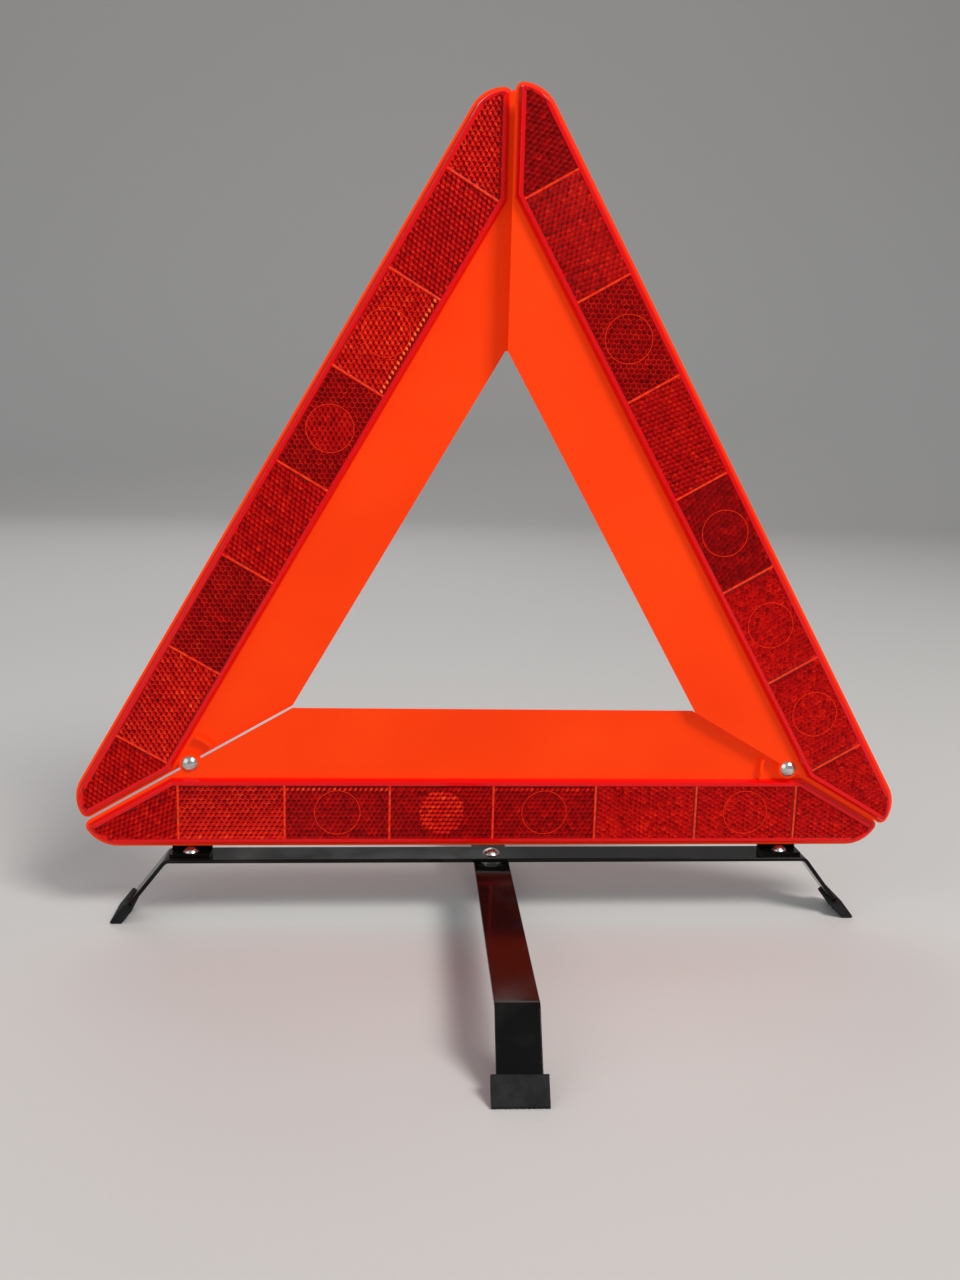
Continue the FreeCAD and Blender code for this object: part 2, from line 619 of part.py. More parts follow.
stand_grip = "Dims.bracket_thickness + Dims.strip_thickness"
fixing_grip = f"{BAND_FACE} + Dims.bracket_thickness + {HALF_SHEET}"
for side_name, sign in (("left", -1), ("right", 1)):
    middle = f"{sign} * Dims.bracket_place"
    place(bracket(f"bracket_{side_name}"), x=middle)
    piece = rivet(f"bar_rivet_{side_name}", "Dims.bar_head", "Dims.stand_head_height",
                  "Dims.stand_shank", stand_grip, "Dims.stand_tail",
                  "Dims.bar_tail_height")
    place(piece, x=middle, z=f"{BAR_TOP} + Dims.bracket_thickness")
    piece = rivet(f"bracket_rivet_{side_name}", "Dims.fixing_head",
                  "Dims.fixing_head_height", "Dims.fixing_shank", fixing_grip,
                  "Dims.fixing_tail")
    place(piece, middle, f"{BAND_FACE} + Dims.bracket_thickness",
          "Dims.ground_clearance + Dims.fixing_rise", Vector(1, 0, 0), -90)


# --- Check and write ------------------------------------------------------------------
doc.recompute()
for item in doc.Objects:
    if "Invalid" in item.State or "Error" in item.State:
        raise ValueError(f"{item.Label} failed: {item.State}")
for body in doc.findObjects("PartDesign::Body"):
    if body.Shape.isNull() or not body.Shape.isValid() or len(body.Shape.Solids) != 1:
        raise ValueError(f"{body.Label} is not one valid solid")
    body.Shape.exportStep(f"parts/{body.Label}.step")
    box = body.Shape.BoundBox
    print(f"{body.Label}: {body.Shape.Volume:.0f} mm3, {box.XMin:.1f}..{box.XMax:.1f},"
          f" {box.YMin:.1f}..{box.YMax:.1f}, {box.ZMin:.1f}..{box.ZMax:.1f}")
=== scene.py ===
"""Looks of a foldable emergency warning triangle on a swivelling cross-stand.

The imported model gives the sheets, rivets, strips, brackets and rubber feet. This script
models the six reflector mouldings in detail and dresses every piece. Lengths are metres.
"""
import json
import logging
import math
import random
from collections.abc import Callable, Iterable
from dataclasses import dataclass, field
from enum import Enum

import bmesh
import bpy
from mathutils import Matrix, Vector


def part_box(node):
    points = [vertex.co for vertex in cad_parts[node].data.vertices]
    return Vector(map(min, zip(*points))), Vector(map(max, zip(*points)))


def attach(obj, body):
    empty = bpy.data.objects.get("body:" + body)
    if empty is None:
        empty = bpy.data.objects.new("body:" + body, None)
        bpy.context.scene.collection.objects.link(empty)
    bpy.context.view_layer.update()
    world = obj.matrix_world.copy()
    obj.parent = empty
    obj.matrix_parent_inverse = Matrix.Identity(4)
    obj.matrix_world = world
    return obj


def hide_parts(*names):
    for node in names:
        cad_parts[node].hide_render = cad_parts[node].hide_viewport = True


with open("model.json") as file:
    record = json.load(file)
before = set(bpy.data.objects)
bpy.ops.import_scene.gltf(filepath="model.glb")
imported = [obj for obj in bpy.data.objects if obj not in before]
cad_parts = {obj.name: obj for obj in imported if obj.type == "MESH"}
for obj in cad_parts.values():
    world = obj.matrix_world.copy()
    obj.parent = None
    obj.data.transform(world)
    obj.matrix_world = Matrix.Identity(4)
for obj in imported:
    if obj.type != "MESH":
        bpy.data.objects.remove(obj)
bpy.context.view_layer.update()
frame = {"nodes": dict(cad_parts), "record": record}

LOG = logging.getLogger("warning_triangle")
MM = 0.001
HAIR = 0.01 * MM
NOISE_LOW, NOISE_HIGH = 0.3, 0.7


# --- Finishes -------------------------------------------------------------------------


class Recipe:
    """Node tree of one finish, built round a Principled shader."""

    def __init__(self, name: str) -> None:
        """Start a material with an empty recipe.

        Args:
            name: Name of the material.
        """
        self.material = bpy.data.materials.new(name)
        self.material.use_nodes = True
        self.tree = self.material.node_tree
        self.shader = self.tree.nodes["Principled BSDF"]
        self.place = self.add("ShaderNodeTexCoord").outputs["Object"]

    def add(self, kind: str, **settings: object) -> bpy.types.Node:
        """Add a node.

        Args:
            kind: Node type.
            settings: Properties of the node.

        Returns:
            The new node.
        """
        node = self.tree.nodes.new(kind)
        for key, value in settings.items():
            setattr(node, key, value)
        return node

    def link(self, source: bpy.types.NodeSocket, target: bpy.types.NodeSocket) -> None:
        """Join an output to an input."""
        self.tree.links.new(source, target)

    def set(self, **values: object) -> None:
        """Set the shader's own sockets; an underscore stands for a space."""
        for key, value in values.items():
            self.shader.inputs[key.replace("_", " ")].default_value = value

    def noise(self, scale: float, detail: float = 2.0) -> bpy.types.NodeSocket:
        """Noise over the piece.

        Args:
            scale: Features per metre.
            detail: Octaves.

        Returns:
            The noise's value.
        """
        node = self.add("ShaderNodeTexNoise")
        node.inputs["Scale"].default_value = scale
        node.inputs["Detail"].default_value = detail
        self.link(self.place, node.inputs["Vector"])
        return node.outputs["Fac"]

    def attribute(self, name: str) -> bpy.types.NodeSocket:
        """Value that the mesh stores under a name."""
        return self.add("ShaderNodeAttribute", attribute_name=name).outputs["Fac"]

    def ramp(self, value: bpy.types.NodeSocket,
             stops: Iterable[tuple[float, tuple[float, float, float]]]
             ) -> bpy.types.NodeSocket:
        """Colours along a value.

        Args:
            value: What the colours follow.
            stops: Positions from 0 to 1 and their linear colours.

        Returns:
            The colour.
        """
        node = self.add("ShaderNodeValToRGB")
        self.link(value, node.inputs["Fac"])
        stops = list(stops)
        elements = node.color_ramp.elements
        while len(elements) < len(stops):
            elements.new(0.5)
        for element, (position, colour) in zip(elements, stops):
            element.position = position
            element.color = (*colour, 1.0)
        return node.outputs["Color"]

    def span(self, value: bpy.types.NodeSocket, low: float,
             high: float) -> bpy.types.NodeSocket:
        """Stretch a noise's middle range to another range.

        Args:
            value: The noise.
            low: Where the range's low end goes.
            high: Where its high end goes.

        Returns:
            The stretched value.
        """
        node = self.add("ShaderNodeMapRange")
        node.inputs["From Min"].default_value = NOISE_LOW
        node.inputs["From Max"].default_value = NOISE_HIGH
        node.inputs["To Min"].default_value = low
        node.inputs["To Max"].default_value = high
        self.link(value, node.inputs["Value"])
        return node.outputs["Result"]

    def bump(self, value: bpy.types.NodeSocket, depth: float, strength: float) -> None:
        """Raise the surface by a value.

        Args:
            value: Height pattern.
            depth: Height of a full step, in metres.
            strength: Share of the effect.
        """
        node = self.add("ShaderNodeBump")
        node.inputs["Distance"].default_value = depth
        node.inputs["Strength"].default_value = strength
        self.link(value, node.inputs["Height"])
        self.link(node.outputs["Normal"], self.shader.inputs["Normal"])


@dataclass(frozen=True)
class OrangeSheet:
    """Fluorescent orange sheet with a satin moulded surface and a painted glow."""

    dull: tuple[float, float, float] = (0.84, 0.036, 0.0015)
    bright: tuple[float, float, float] = (0.93, 0.050, 0.002)
    painted_glow: float = 0.17

    def material(self) -> bpy.types.Material:
        """Build the sheet's material.

        Returns:
            The material.
        """
        recipe = Recipe("moulded_orange")
        shade = recipe.span(recipe.noise(14.0), 0.0, 1.0)
        colour = recipe.ramp(shade, [(0.0, self.dull), (1.0, self.bright)])
        recipe.link(colour, recipe.shader.inputs["Base Color"])
        recipe.link(recipe.span(recipe.noise(60.0), 0.36, 0.5),
                    recipe.shader.inputs["Roughness"])
        recipe.bump(recipe.noise(1500.0), 0.03 * MM, 0.25)
        # The emission is a painted glow that stands in for the sheet's fluorescent brightness.
        recipe.set(Emission_Color=(*self.bright, 1.0), Emission_Strength=self.painted_glow,
                   Specular_IOR_Level=0.1)
        return recipe.material


@dataclass(frozen=True)
class ClearRed:
    """Clear red moulding: the sheet's orange light is painted at its foot, with a painted glow
    and painted shade on the floor of its recess.
    """

    foot: tuple[float, float, float] = (0.95, 0.060, 0.003)
    wall: tuple[float, float, float] = (0.80, 0.004, 0.002)
    face: tuple[float, float, float] = (0.70, 0.001, 0.003)
    shaded_well: tuple[float, float, float] = (0.16, 0.0004, 0.001)

    def material(self) -> bpy.types.Material:
        """Build the moulding's material.

        Returns:
            The material.
        """
        recipe = Recipe("clear_red")
        # Painted light: the orange foot stands in for the sheet's light through the clear red,
        # fading to the deep red face; the dark floor of the recess is painted shade.
        colour = recipe.ramp(recipe.attribute("rise"),
                             [(0.0, self.foot), (0.25, self.wall), (0.7, self.face),
                              (1.0, self.shaded_well)])
        recipe.link(colour, recipe.shader.inputs["Base Color"])
        recipe.link(recipe.span(recipe.noise(90.0), 0.1, 0.2),
                    recipe.shader.inputs["Roughness"])
        recipe.bump(recipe.noise(220.0), 0.05 * MM, 0.12)
        # The faint emission is a painted glow.
        recipe.set(Specular_IOR_Level=0.25, Emission_Color=(*self.wall, 1.0),
                   Emission_Strength=0.06)
        return recipe.material


@dataclass(frozen=True)
class PrismRed:
    """Corner prisms behind the clear face: each facet has its own painted light and shade,
    standing in for the glints and dark facets of real prisms.
    """

    def material(self) -> bpy.types.Material:
        """Build the prisms' material.

        Returns:
            The material.
        """
        recipe = Recipe("prism_red")
        # Painted light: each facet's value runs from painted shade near black to a painted
        # orange glint.
        colour = recipe.ramp(recipe.attribute("painted_light"), [
            (0.0, (0.055, 0.0001, 0.0005)),
            (0.35, (0.25, 0.0004, 0.001)),
            (0.62, (0.62, 0.003, 0.002)),
            (0.85, (0.92, 0.03, 0.005)),
            (1.0, (1.0, 0.16, 0.02))])
        recipe.link(colour, recipe.shader.inputs["Base Color"])
        recipe.link(recipe.span(recipe.noise(700.0), 0.18, 0.38),
                    recipe.shader.inputs["Roughness"])
        recipe.set(Specular_IOR_Level=0.06)
        return recipe.material


@dataclass(frozen=True)
class RibRed:
    """Ribs between the reflector cells, painted as lit from inside by the orange sheet, with a
    painted glow.
    """

    low: tuple[float, float, float] = (0.78, 0.006, 0.002)
    high: tuple[float, float, float] = (0.95, 0.055, 0.005)

    def material(self) -> bpy.types.Material:
        """Build the ribs' material.

        Returns:
            The material.
        """
        recipe = Recipe("rib_red")
        colour = recipe.ramp(recipe.span(recipe.noise(450.0), 0.0, 1.0),
                             [(0.0, self.low), (1.0, self.high)])
        recipe.link(colour, recipe.shader.inputs["Base Color"])
        # The faint emission is a painted glow, and the two colours are the sheet's light
        # painted into the ribs.
        recipe.set(Roughness=0.25, Specular_IOR_Level=0.15, Emission_Strength=0.05,
                   Emission_Color=(*self.low, 1.0))
        return recipe.material


@dataclass(frozen=True)
class BlackPaint:
    """Gloss black stove enamel on steel, with a faint ripple and a little dust."""

    paint: tuple[float, float, float] = (0.0035, 0.0032, 0.003)
    dust: tuple[float, float, float] = (0.013, 0.012, 0.011)

    def material(self) -> bpy.types.Material:
        """Build the enamel's material.

        Returns:
            The material.
        """
        recipe = Recipe("black_paint")
        dusty = recipe.span(recipe.noise(45.0, 6.0), -0.6, 1.0)
        colour = recipe.ramp(dusty, [(0.25, self.paint), (1.0, self.dust)])
        recipe.link(colour, recipe.shader.inputs["Base Color"])
        recipe.link(recipe.span(recipe.noise(70.0, 5.0), 0.07, 0.17),
                    recipe.shader.inputs["Roughness"])
        recipe.bump(recipe.noise(420.0), 0.03 * MM, 0.15)
        recipe.set(Specular_IOR_Level=0.16)
        return recipe.material


@dataclass(frozen=True)
class BrightRivet:
    """Bright nickel on steel, with fine marks from the setting tool."""

    shade: tuple[float, float, float] = (0.44, 0.43, 0.40)
    light: tuple[float, float, float] = (0.80, 0.79, 0.76)

    def material(self) -> bpy.types.Material:
        """Build the rivets' material.

        Returns:
            The material.
        """
        recipe = Recipe("bright_rivet")
        colour = recipe.ramp(recipe.span(recipe.noise(380.0, 4.0), 0.0, 1.0),
                             [(0.0, self.shade), (1.0, self.light)])
        recipe.link(colour, recipe.shader.inputs["Base Color"])
        recipe.link(recipe.span(recipe.noise(900.0, 3.0), 0.14, 0.34),
                    recipe.shader.inputs["Roughness"])
        recipe.bump(recipe.noise(700.0), 0.05 * MM, 0.2)
        recipe.set(Metallic=1.0)
        return recipe.material


@dataclass(frozen=True)
class FootRubber:
    """Dark moulded rubber with a dusty, grainy skin."""

    dark: tuple[float, float, float] = (0.007, 0.007, 0.0075)
    dusty: tuple[float, float, float] = (0.019, 0.018, 0.018)

    def material(self) -> bpy.types.Material:
        """Build the rubber's material.

        Returns:
            The material.
        """
        recipe = Recipe("foot_rubber")
        colour = recipe.ramp(recipe.span(recipe.noise(160.0, 5.0), 0.0, 1.0),
                             [(0.0, self.dark), (1.0, self.dusty)])
        recipe.link(colour, recipe.shader.inputs["Base Color"])
        recipe.link(recipe.span(recipe.noise(240.0), 0.55, 0.8),
                    recipe.shader.inputs["Roughness"])
        recipe.bump(recipe.noise(1600.0, 3.0), 0.08 * MM, 0.5)
        recipe.set(Specular_IOR_Level=0.15)
        return recipe.material


@dataclass(frozen=True)
class PaleFloor:
    """Plain pale floor."""

    colour: tuple[float, float, float] = (0.60, 0.585, 0.57)

    def material(self) -> bpy.types.Material:
        """Build the floor's material.

        Returns:
            The material.
        """
        recipe = Recipe("pale_floor")
        recipe.set(Base_Color=(*self.colour, 1.0), Roughness=0.7)
        return recipe.material


# --- Hand tools -----------------------------------------------------------------------


def clear_selection() -> None:
    """Leave edit mode and select nothing."""
    if bpy.context.mode != "OBJECT":
        bpy.ops.object.mode_set(mode="OBJECT")
    bpy.ops.object.select_all(action="DESELECT")


def choose(*pieces: bpy.types.Object) -> None:
    """Select some pieces and make the first one active."""
    clear_selection()
    for piece in pieces:
        piece.select_set(True)
    bpy.context.view_layer.objects.active = pieces[0]


def pick_faces(piece: bpy.types.Object, test: Callable[[bmesh.types.BMFace], bool]) -> None:
    """Select faces in edit mode.

    Args:
        piece: The piece, in edit mode.
        test: Accepts the faces to select.
    """
    mesh = bmesh.from_edit_mesh(piece.data)
    bpy.ops.mesh.select_all(action="DESELECT")
    for face in mesh.faces:
        if test(face):
            face.select_set(True)
    bmesh.update_edit_mesh(piece.data)


def pick_points(piece: bpy.types.Object, test: Callable[[Vector], bool]) -> None:
    """Select vertices in edit mode.

    Args:
        piece: The piece, in edit mode.
        test: Accepts the places of the vertices to select.
    """
    mesh = bmesh.from_edit_mesh(piece.data)
    bpy.ops.mesh.select_all(action="DESELECT")
    bpy.ops.mesh.select_mode(type="VERT")
    for vertex in mesh.verts:
        vertex.select_set(test(vertex.co))
    mesh.select_flush_mode()
    bmesh.update_edit_mesh(piece.data)


def paint(piece: bpy.types.Object, name: str, domain: str, values: list[float]) -> None:
    """Store one number for each face or point of a piece.

    Args:
        piece: The piece.
        name: Name that its material reads.
        domain: "FACE" or "POINT".
        values: The numbers, in the mesh's order.
    """
    layer = piece.data.attributes.new(name, "FLOAT", domain)
    layer.data.foreach_set("value", values)


def settle(piece: bpy.types.Object, place: Matrix) -> None:
    """Put a piece in its place, with that place kept in its mesh.

    Args:
        piece: The piece.
        place: Matrix from where the piece was modelled to its place.
    """
    piece.matrix_world = place
    choose(piece)
    bpy.ops.object.transform_apply(location=True, rotation=True, scale=True)


# --- Reflector mouldings --------------------------------------------------------------


class Weave(Enum):
    """Painted light of the prisms in one reflector cell, standing in for how they catch the
    light: middle painted light, painted shade and light between the three facets, painted
    light of the hexagons' outlines, turn of the pattern in degrees."""

    DEEP = (0.33, 0.13, 0.46, 0.0)
    SOFT = (0.47, 0.10, 0.58, 30.0)
    FLECKED = (0.43, 0.24, 0.70, 0.0)
    STREAKED = (0.40, 0.20, 0.55, 22.0)
    HONEYCOMB = (0.24, 0.10, 0.62, 0.0)
    SHADED = (0.29, 0.11, 0.38, 48.0)


@dataclass(frozen=True)
class Cell:
    """One cell of a reflector band."""

    weave: Weave
    ring: bool = False
    # The last three fields are painted light: a lighter disc inside the ring, a slope of light
    # across the band, and glints along the field's edge.
    lit_disc: float = 0.0
    light_lean: float = 0.0
    glint_fringe: float = 0.0


# In these tables the numbers are amounts of painted light on the prisms.
BASE_CELLS = (
    Cell(Weave.STREAKED, light_lean=-0.05), Cell(Weave.FLECKED, light_lean=-0.16),
    Cell(Weave.DEEP, ring=True, glint_fringe=0.38), Cell(Weave.DEEP, lit_disc=0.32, light_lean=0.06),
    Cell(Weave.DEEP, ring=True, glint_fringe=0.2), Cell(Weave.SOFT, light_lean=-0.08, glint_fringe=0.1),
    Cell(Weave.SOFT, ring=True, light_lean=-0.06), Cell(Weave.SOFT))
RIGHT_CELLS = (
    Cell(Weave.SOFT), Cell(Weave.SOFT, ring=True), Cell(Weave.SOFT, ring=True, light_lean=0.05),
    Cell(Weave.SHADED, ring=True), Cell(Weave.STREAKED), Cell(Weave.HONEYCOMB, ring=True),
    Cell(Weave.STREAKED, light_lean=-0.08), Cell(Weave.SHADED))
LEFT_CELLS = (
    Cell(Weave.FLECKED, glint_fringe=0.2), Cell(Weave.STREAKED),
    Cell(Weave.FLECKED, ring=True, lit_disc=0.1, glint_fringe=0.4),
    Cell(Weave.HONEYCOMB, ring=True, lit_disc=0.2), Cell(Weave.STREAKED, light_lean=0.05),
    Cell(Weave.HONEYCOMB), Cell(Weave.FLECKED, light_lean=0.08), Cell(Weave.STREAKED))


@dataclass
class Prism:
    """One corner prism: a six-sided stud whose top is three facets round a low middle."""

    pitch: float = 2.6 * MM
    height: float = 0.40 * MM
    step: float = 0.15 * MM
    line: float = 0.17 * MM

    @property
    def radius(self) -> float:
        """Radius at which neighbouring studs would just touch."""
        return self.pitch / math.sqrt(3.0)

    def model(self) -> bpy.types.Object:
        """Model one stud, standing on the plane Z = 0.

        Returns:
            The stud.
        """
        clear_selection()
        bpy.ops.mesh.primitive_cylinder_add(
            vertices=6, radius=self.radius * 0.98, depth=self.height,
            location=(0.0, 0.0, self.height / 2))
        stud = bpy.context.object
        bpy.ops.object.transform_apply(location=True)
        bpy.ops.object.mode_set(mode="EDIT")
        pick_faces(stud, lambda face: face.normal.z > 0.5)
        bpy.ops.mesh.inset(thickness=self.line, depth=0.0)
        bpy.ops.mesh.poke()
        top = self.height * 0.99
        inner = self.radius - self.line

        def middle(point: Vector) -> bool:
            """Tell whether a point is the middle of the top."""
            return point.z > top and point.xy.length < self.radius * 0.1

        def every_other(point: Vector) -> bool:
            """Tell whether a point is one of three corners of the top's ring.

            Args:
                point: The point.

            Returns:
                Whether it is.
            """
            turn = math.degrees(math.atan2(point.y, point.x)) - 30.0
            on_ring = self.radius * 0.5 < point.xy.length < inner
            return point.z > top and on_ring and round(turn / 60.0) % 2 == 0

        pick_points(stud, middle)
        bpy.ops.transform.translate(value=(0.0, 0.0, -2 * self.step))
        pick_points(stud, every_other)
        bpy.ops.transform.translate(value=(0.0, 0.0, -self.step))
        bpy.ops.object.mode_set(mode="OBJECT")
        return stud


@dataclass
class Reflector:
    """Reflector moulding on one side of an arm.

    It is modelled flat: X along the arm, Y inwards from the arm's outer edge, Z out of
    the moulding's face, with the carrier sheet's middle on Z = 0."""

    name: str
    cells: tuple[Cell, ...]
    seed: int
    side: float = 450 * MM
    band: float = 37 * MM
    rim: float = 1.0 * MM
    gap: float = 0.4 * MM
    tip_trim: float = 23.8 * MM
    shoulder: float = 18 * MM
    tip: float = 3.6 * MM
    sheet: float = 0.5 * MM
    depth: float = 3.6 * MM
    draft: float = math.radians(25.0)
    edge: float = 0.45 * MM
    least_radius: float = 0.5 * MM
    border: float = 1.6 * MM
    recess: float = 0.45 * MM
    rib: float = 1.1 * MM
    cell_pitch: float = 52.4 * MM
    rib_reach: float = 0.6 * MM
    rib_edge: float = 0.15 * MM
    middle_rib: int = 3
    ring_radius: float = 11.4 * MM
    ring_wire: float = 0.2 * MM
    prism: Prism = field(default_factory=Prism)

    @property
    def face(self) -> float:
        """Height of the moulding's face."""
        return self.sheet + self.depth

    @property
    def floor(self) -> float:
        """Height of the recess that the prisms stand in."""
        return self.face - self.recess

    @property
    def field_inset(self) -> float:
        """Edge of the moulding to the prism field."""
        wall = (self.depth - self.edge) * math.tan(self.draft)
        return wall + self.edge + self.border

    def mitre(self, end: int) -> tuple[Vector, Vector]:
        """Find the line of the band's mitred end.

        Args:
            end: Which end, 1 or -1.

        Returns:
            A point of the line and the direction outwards.
        """
        out = Vector((end * 0.5, math.sqrt(3.0) / 2, 0.0))
        corner = Vector((end * self.side / 2, 0.0, 0.0))
        return corner - out * (self.gap / 2 + self.rim), out

    def tip_cut(self, end: int) -> tuple[Vector, Vector]:
        """Find the line of the cut across a corner.

        Args:
            end: Which end, 1 or -1.

        Returns:
            A point of the line and the direction outwards.
        """
        out = Vector((end * math.sqrt(3.0) / 2, -0.5, 0.0))
        corner = Vector((end * self.side / 2, 0.0, 0.0))
        return corner - out * (self.tip_trim + self.rim), out

    def clearance(self, x: float, y: float) -> float:
        """Measure how far inside the moulding a point is.

        Args:
            x: Place along the arm.
            y: Place across the arm.

        Returns:
            Distance to the nearest edge, below 0 outside the moulding.
        """
        point = Vector((x, y, 0.0))
        room = [y - self.rim, self.band - self.rim - y]
        for place, out in self.end_cuts(0.0) + self.corner_cuts():
            room.append((place - point).dot(out))
        return min(room)

    def corner_cuts(self) -> list[tuple[Vector, Vector]]:
        """Find the lines that touch the rounded corners.

        Returns:
            A point of each line and its direction outwards.
        """
        cuts = []
        for end in (1, -1):
            (mitre, up), (cut, out) = self.mitre(end), self.tip_cut(end)
            tip = mitre + out * (cut - mitre).dot(out)
            shoulder = tip - up * self.tip_run(self.rim)
            for corner, side, radius in ((tip, up, self.tip - self.rim),
                                         (shoulder, Vector((0.0, -1.0, 0.0)),
                                          self.shoulder - self.rim)):
                middle = (out + side).normalized()
                turn = out.angle(side) / 2
                cuts.append((corner - middle * radius * (1 / math.cos(turn) - 1), middle))
        return cuts

    def outline(self, inset: float, height: float) -> bpy.types.Object:
        """Model a flat plate of the moulding's outline.

        Args:
            inset: How far inside the moulding's foot the plate ends.
            height: Where the plate lies.

        Returns:
            The plate, one face with rounded corners.
        """
        clear_selection()
        bpy.ops.mesh.primitive_plane_add(size=1.0)
        piece = bpy.context.object
        bpy.ops.object.mode_set(mode="EDIT")
        width = self.band - 2 * (self.rim + inset)
        bpy.ops.transform.resize(value=(self.side, width, 1.0))
        bpy.ops.transform.translate(value=(0.0, self.band / 2, height))
        for place, out in self.end_cuts(inset):
            bpy.ops.mesh.select_all(action="SELECT")
            bpy.ops.mesh.bisect(plane_co=place, plane_no=out, clear_outer=True)
        foot = self.rim + inset
        tip = max(self.tip - foot, self.least_radius)
        shoulder = (self.shoulder - foot) * math.tan(math.radians(30.0))
        shoulder = min(shoulder, self.tip_run(foot) - tip - 0.1 * MM)
        self.round_corners(piece, lambda point: point.y < foot + HAIR, shoulder)
        self.round_corners(piece, lambda point: self.at_tip(point, inset), tip)
        bpy.ops.object.mode_set(mode="OBJECT")
        return piece

    def tip_run(self, foot: float) -> float:
        """Measure the cut across a tip.

        Args:
            foot: How far inside the arm's outline the cut is.

        Returns:
            The cut's length.
        """
        slope = math.sqrt(3.0) / 2
        rise = (self.tip_trim + foot) / 2 - (self.gap / 2 + foot) * slope - foot
        return rise / slope

    def end_cuts(self, inset: float) -> list[tuple[Vector, Vector]]:
        """Point and outward direction of the mitre and the tip's cut at both ends."""
        cuts = [cut for end in (1, -1) for cut in (self.mitre(end), self.tip_cut(end))]
        return [(place - out * inset, out) for place, out in cuts]

    def at_tip(self, point: Vector, inset: float) -> bool:
        """Tell whether a corner is where a mitre meets the cut across its tip."""
        misses = [abs((place - point).dot(out)) for place, out in self.end_cuts(inset)]
        return max(misses[:2]) < HAIR or max(misses[2:]) < HAIR

    @staticmethod
    def round_corners(piece: bpy.types.Object, test: Callable[[Vector], bool],
                      reach: float) -> None:
        """Round the outline's corners that a test accepts, `reach` along each side."""
        pick_points(piece, test)
        bpy.ops.mesh.bevel(offset=reach, offset_type="OFFSET", segments=10,
                           affect="VERTICES", clamp_overlap=False)

    def levels(self) -> list[tuple[float, float]]:
        """List the outlines that the moulding's walls run through.

        Returns:
            Inset and height of each outline, from the foot to the face.
        """
        wall = self.depth - self.edge
        slope = math.tan(self.draft)
        rounding = ((0.0, 0.0), (0.18, 0.40), (0.48, 0.76), (1.0, 1.0))
        steps = [(0.0, 0.0), (wall / 2 * slope, wall / 2)]
        steps += [(wall * slope + self.edge * across, wall + self.edge * up)
                  for across, up in rounding]
        return [(inset, self.sheet + rise) for inset, rise in steps]

    def model_moulding(self) -> bpy.types.Object:
        """Model the clear moulding: sloping walls, a rounded edge and a recess.

        Returns:
            The moulding.
        """
        levels = self.levels()
        piece = self.outline(*levels[0])
        choose(piece)
        bpy.ops.object.mode_set(mode="EDIT")
        bpy.ops.mesh.select_all(action="SELECT")
        bpy.ops.mesh.flip_normals()
        for level in levels[1:]:
            ring = self.outline(*level)
            bpy.ops.object.mode_set(mode="EDIT")
            bpy.ops.mesh.select_mode(type="FACE")
            bpy.ops.mesh.select_all(action="SELECT")
            bpy.ops.mesh.delete(type="ONLY_FACE")
            self.loft(piece, ring)
        shaded_well = self.outline(self.field_inset, self.face)
        bpy.ops.object.mode_set(mode="EDIT")
        bpy.ops.mesh.select_all(action="SELECT")
        bpy.ops.mesh.inset(thickness=self.recess * 0.3, depth=-self.recess)
        self.loft(piece, shaded_well)
        # The rise sets where the foot's painted light and the recess floor's painted shade
        # fall.
        paint(piece, "rise", "POINT", [self.rise(vertex.co) for vertex in piece.data.vertices])
        return piece

    def rise(self, point: Vector) -> float:
        """Share of the way from the foot to the face; 1 on the floor of the recess."""
        if self.clearance(point.x, point.y) > self.field_inset + HAIR:
            return 1.0
        return 0.7 * (point.z - self.sheet) / self.depth

    @staticmethod
    def loft(piece: bpy.types.Object, ring: bpy.types.Object) -> None:
        """Join a ring to a piece and fill the strip between their open edges.

        Args:
            piece: The piece, which gains the ring.
            ring: The ring, which is used up.
        """
        choose(piece, ring)
        bpy.ops.object.join()
        bpy.ops.object.mode_set(mode="EDIT")
        mesh = bmesh.from_edit_mesh(piece.data)
        bpy.ops.mesh.select_mode(type="EDGE")
        bpy.ops.mesh.select_all(action="DESELECT")
        for edge in mesh.edges:
            if len(edge.link_faces) < 2:
                edge.select_set(True)
        bmesh.update_edit_mesh(piece.data)
        bpy.ops.mesh.bridge_edge_loops()
        bpy.ops.mesh.select_all(action="SELECT")
        bpy.ops.mesh.normals_make_consistent(inside=False)
        bpy.ops.object.mode_set(mode="OBJECT")

    def cell_bounds(self, number: int) -> tuple[float, float]:
        """Find where a cell starts and ends; the outer ones run to the mitres.

        Args:
            number: The cell's number along the arm.

        Returns:
            The cell's two ends along the arm.
        """
        low = (number - 1 - self.middle_rib) * self.cell_pitch + self.rib / 2
        high = (number - self.middle_rib) * self.cell_pitch - self.rib / 2
        if number == 0:
            low = -self.side / 2
        if number == len(self.cells) - 1:
            high = self.side / 2
        return low, high

